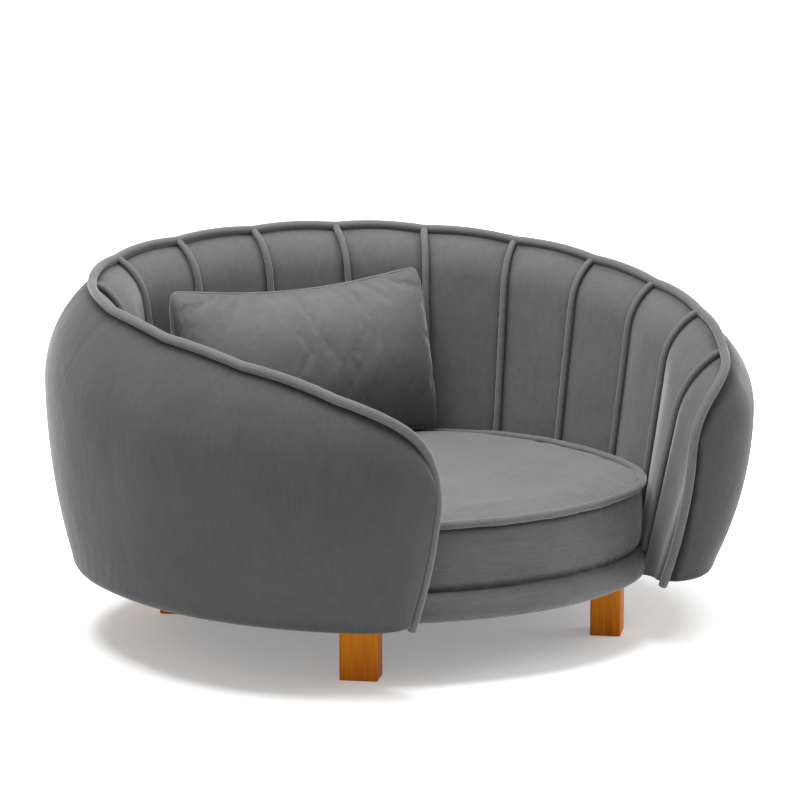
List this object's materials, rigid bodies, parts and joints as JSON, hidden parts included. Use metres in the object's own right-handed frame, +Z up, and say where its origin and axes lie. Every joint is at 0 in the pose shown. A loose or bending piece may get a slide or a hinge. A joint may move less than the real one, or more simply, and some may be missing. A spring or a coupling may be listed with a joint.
{
  "type": "pet sofa",
  "caption": "Tub-shaped upholstered pet sofa with channel-tufted inner walls, piped edges, a loose seat cushion, a loose lumbar pillow and wooden block legs.",
  "frame": {"origin": "on the floor under the middle of the sofa", "axes": "+X to the sitter's left, +Y to the back, +Z up; the open front faces -Y"},
  "size_m": [0.7582, 0.6475, 0.4131],
  "materials": {
    "shell_fabric": "dark grey short-pile velvet, outside cover",
    "inner_fabric": "mid grey short-pile velvet over stuffed channels",
    "welt_fabric": "mid grey fabric-covered piping",
    "cushion_fabric": "light grey velvet with ribbed boxing",
    "pillow_fabric": "light grey velvet",
    "deck_fabric": "plain grey cloth over foam",
    "dust_cloth": "black non-woven cloth",
    "leg_wood": "orange-brown stained wood, satin",
    "plywood": "bare plywood",
    "steel": "zinc plated"
  },
  "bodies": {
    "tub": {"base_board": "plywood", "channel_left_1": "inner_fabric", "channel_left_2": "inner_fabric", "channel_left_3": "inner_fabric", "channel_left_4": "inner_fabric", "channel_left_5": "inner_fabric", "channel_left_6": "inner_fabric", "channel_left_7": "inner_fabric", "channel_left_8": "inner_fabric", "channel_right_1": "inner_fabric", "channel_right_2": "inner_fabric", "channel_right_3": "inner_fabric", "channel_right_4": "inner_fabric", "channel_right_5": "inner_fabric", "channel_right_6": "inner_fabric", "channel_right_7": "inner_fabric", "channel_right_8": "inner_fabric", "channel_welt_back": "welt_fabric", "channel_welt_left_1": "welt_fabric", "channel_welt_left_2": "welt_fabric", "channel_welt_left_3": "welt_fabric", "channel_welt_left_4": "welt_fabric", "channel_welt_left_5": "welt_fabric", "channel_welt_left_6": "welt_fabric", "channel_welt_left_7": "welt_fabric", "channel_welt_right_1": "welt_fabric", "channel_welt_right_2": "welt_fabric", "channel_welt_right_3": "welt_fabric", "channel_welt_right_4": "welt_fabric", "channel_welt_right_5": "welt_fabric", "channel_welt_right_6": "welt_fabric", "channel_welt_right_7": "welt_fabric", "deck_pad": "deck_fabric", "dust_cover": "dust_cloth", "front_rail": "inner_fabric", "leg_back_left": "leg_wood", "leg_back_right": "leg_wood", "leg_bolts": "steel", "leg_front_left": "leg_wood", "leg_front_right": "leg_wood", "leg_nuts": "steel", "outer_cover": "shell_fabric", "rim_welt": "welt_fabric", "shell_wall": "plywood"},
    "cushion": {"seat_cushion": "cushion_fabric", "seat_welt": "cushion_fabric"},
    "pillow": {"pillow": "pillow_fabric"}
  },
  "joints": [
    {"name": "cushion_lift", "type": "slide", "parent": "tub", "child": "cushion", "axis": [0, 0, 1], "range_m": [0, 0.32]},
    {"name": "pillow_lift", "type": "slide", "parent": "cushion", "child": "pillow", "axis": [0, 0, 1], "range_m": [0, 0.25]}
  ]
}
